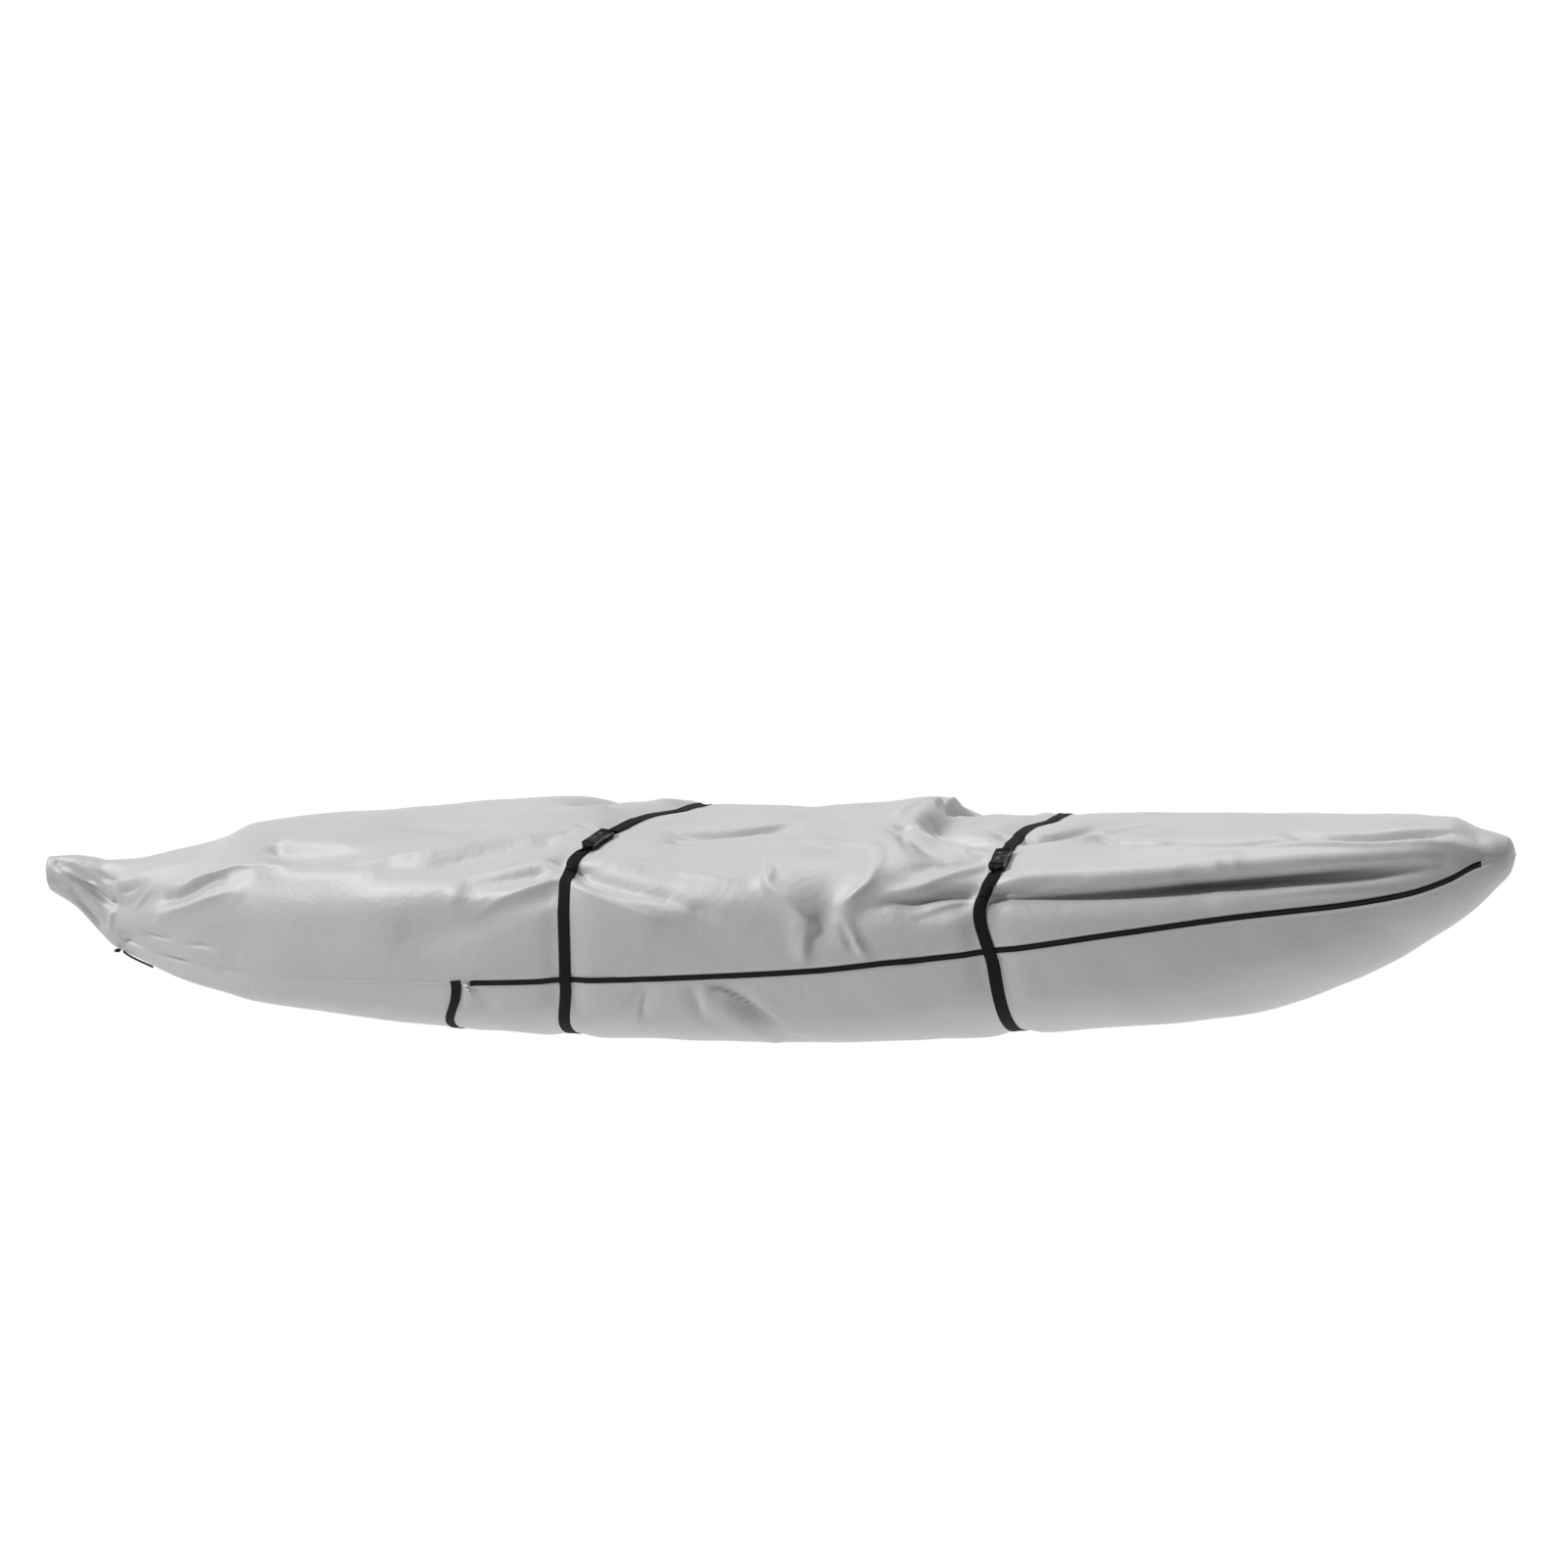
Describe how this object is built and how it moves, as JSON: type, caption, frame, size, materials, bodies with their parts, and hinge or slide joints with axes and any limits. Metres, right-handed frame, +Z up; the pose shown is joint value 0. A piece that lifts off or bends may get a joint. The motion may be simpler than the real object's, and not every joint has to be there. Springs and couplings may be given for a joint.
{
  "type": "kayak storage cover",
  "caption": "Fitted zip-up storage cover for a kayak, in silver coated cloth, drawn in by a cord at one end and held by two buckled webbing straps.",
  "frame": {"origin": "under the top of the cover at the middle of its length, where the kayak's deck carries it", "axes": "+X along the cover towards the closed bow end, -X towards the corded tail, +Z up; the zip and buckles are on the -Y side"},
  "size_m": [3.2001, 0.7186, 0.482],
  "materials": {
    "silver_cloth": "silver-grey coated polyester, soft satin sheen",
    "black_zip": "black woven tape with moulded teeth",
    "slider_metal": "pale grey cast metal",
    "black_webbing": "ribbed black polypropylene webbing",
    "black_plastic": "moulded black acetal",
    "black_cord": "braided black cord"
  },
  "bodies": {
    "root": {"upper_panel": "silver_cloth", "hull_panel": "silver_cloth", "zip_tape": "black_zip", "zip_slider": "slider_metal", "zip_pull": "slider_metal", "webbing_tab": "black_webbing", "strap_1": "black_webbing", "strap_2": "black_webbing", "buckle_1_socket": "black_plastic", "buckle_1_plug": "black_plastic", "buckle_2_socket": "black_plastic", "buckle_2_plug": "black_plastic", "drawcord": "black_cord", "drawcord_knot": "black_cord"}
  },
  "joints": []
}
